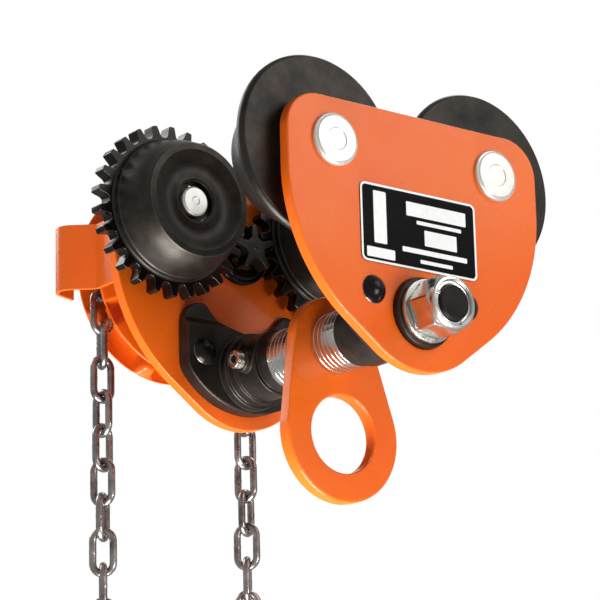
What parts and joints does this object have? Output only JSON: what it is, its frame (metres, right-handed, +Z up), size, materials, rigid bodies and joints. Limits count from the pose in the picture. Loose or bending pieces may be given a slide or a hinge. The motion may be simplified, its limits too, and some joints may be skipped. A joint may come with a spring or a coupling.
{
  "type": "beam trolley",
  "caption": "Geared beam trolley for an I-beam: two side plates with flanged wheels, hand chain drive, suspension shaft with spacers and a swinging hanger eye.",
  "frame": {"origin": "midway between the four wheels, at the height where the treads stand on the beam's bottom flange", "axes": "+X along the beam, +Y across it towards the geared side with the chain wheel, +Z up"},
  "size_m": [0.2468, 0.3256, 0.3774],
  "materials": {
    "orange_paint": "glossy orange enamel over steel",
    "name_plate_black": "black printed aluminium sheet with white border and blank white panels",
    "black_iron": "dark, satin, lightly oiled",
    "black_steel": "blackened, satin",
    "seal_rubber": "matte",
    "bronze": "plain bearing bronze",
    "bare_steel": "bare steel, slightly darkened",
    "zinc_plate": "bright zinc plate"
  },
  "bodies": {
    "frame": {"front_plate": "orange_paint", "rear_plate": "orange_paint", "name_plate": "name_plate_black", "front_holder": "black_iron", "rear_holder": "black_iron", "front_holder_rivets": "black_iron", "rear_holder_rivets": "black_iron", "suspension_shaft": "black_steel", "shaft_nut": "zinc_plate", "shaft_washer": "zinc_plate", "front_spacers": "zinc_plate", "rear_spacers": "zinc_plate", "shaft_lock_screw": "zinc_plate", "fl_axle": "zinc_plate", "fl_inner_race": "zinc_plate", "fl_axle_circlip": "black_steel", "fr_axle": "zinc_plate", "fr_inner_race": "zinc_plate", "fr_axle_circlip": "black_steel", "rl_axle": "zinc_plate", "rl_inner_race": "zinc_plate", "rl_axle_circlip": "black_steel", "rr_axle": "zinc_plate", "rr_inner_race": "zinc_plate", "rr_axle_circlip": "black_steel", "drive_housing": "black_iron", "inner_bush": "bronze", "outer_bush": "bronze", "guide_left": "orange_paint", "guide_right": "orange_paint", "guide_bolts": "zinc_plate", "chain_on_wheel": "black_iron", "hand_chain": "bare_steel"},
    "drive": {"drive_shaft": "black_steel", "chain_wheel": "orange_paint", "wheel_key": "bare_steel", "wheel_nut": "zinc_plate", "nut_split_pin": "bare_steel", "thrust_washer": "bronze"},
    "hanger": {"hanger": "orange_paint"},
    "front_left_wheel": {"fl_wheel": "black_iron", "fl_outer_race": "zinc_plate", "fl_balls": "zinc_plate", "fl_seals": "seal_rubber", "fl_bore_circlip": "black_steel"},
    "front_right_wheel": {"fr_wheel": "black_iron", "fr_outer_race": "zinc_plate", "fr_balls": "zinc_plate", "fr_seals": "seal_rubber", "fr_bore_circlip": "black_steel"},
    "rear_left_wheel": {"rl_wheel": "black_iron", "rl_outer_race": "zinc_plate", "rl_balls": "zinc_plate", "rl_seals": "seal_rubber", "rl_bore_circlip": "black_steel"},
    "rear_right_wheel": {"rr_wheel": "black_iron", "rr_outer_race": "zinc_plate", "rr_balls": "zinc_plate", "rr_seals": "seal_rubber", "rr_bore_circlip": "black_steel"}
  },
  "joints": [
    {"name": "drive_spin", "type": "hinge", "parent": "frame", "child": "drive", "pos_m": [0, 0.166, 0.02845], "axis": [0, 1, 0], "continuous": true, "deforming": ["hand_chain", "chain_on_wheel"]},
    {"name": "front_left_spin", "type": "hinge", "parent": "frame", "child": "front_left_wheel", "pos_m": [-0.06445, -0.06, 0.044], "axis": [0, 1, 0], "continuous": true},
    {"name": "front_right_spin", "type": "hinge", "parent": "frame", "child": "front_right_wheel", "pos_m": [0.06445, -0.06, 0.044], "axis": [0, 1, 0], "continuous": true},
    {"name": "rear_left_spin", "type": "hinge", "parent": "frame", "child": "rear_left_wheel", "pos_m": [-0.06445, 0.06, 0.044], "axis": [0, 1, 0], "continuous": true},
    {"name": "rear_right_spin", "type": "hinge", "parent": "frame", "child": "rear_right_wheel", "pos_m": [0.06445, 0.06, 0.044], "axis": [0, 1, 0], "continuous": true},
    {"name": "hanger_swing", "type": "hinge", "parent": "frame", "child": "hanger", "pos_m": [0, -0.006, -0.0557], "axis": [0, 1, 0], "range_deg": [-55, 66]}
  ],
  "couplings": [
    {"joint": "rear_left_spin", "follows": "drive_spin", "ratio": -0.19231},
    {"joint": "rear_right_spin", "follows": "drive_spin", "ratio": -0.19231}
  ]
}
